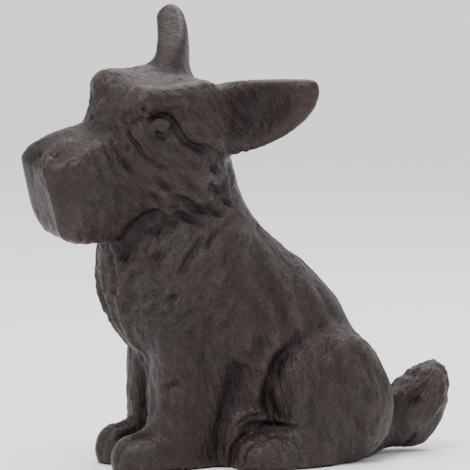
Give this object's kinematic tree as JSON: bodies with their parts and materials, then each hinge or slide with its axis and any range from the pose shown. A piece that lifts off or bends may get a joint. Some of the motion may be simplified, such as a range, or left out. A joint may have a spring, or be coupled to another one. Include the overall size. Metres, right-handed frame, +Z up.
{
  "type": "cast iron dog statue",
  "caption": "Seated terrier figure cast in dark iron, with pricked ears, heavy brows, a square bearded muzzle and a flat underside to stand on.",
  "frame": {"origin": "middle of the footprint box, on the flat underside", "axes": "+Z up, -X the way the dog faces, +Y towards the dog's right side; the head is turned and cocked to the dog's left, -Y"},
  "size_m": [0.2068, 0.0976, 0.2001],
  "materials": {
    "cast_iron": "dark brown-black, matt to satin, as cast"
  },
  "bodies": {
    "root": {"dog_casting": "cast_iron"}
  },
  "joints": []
}
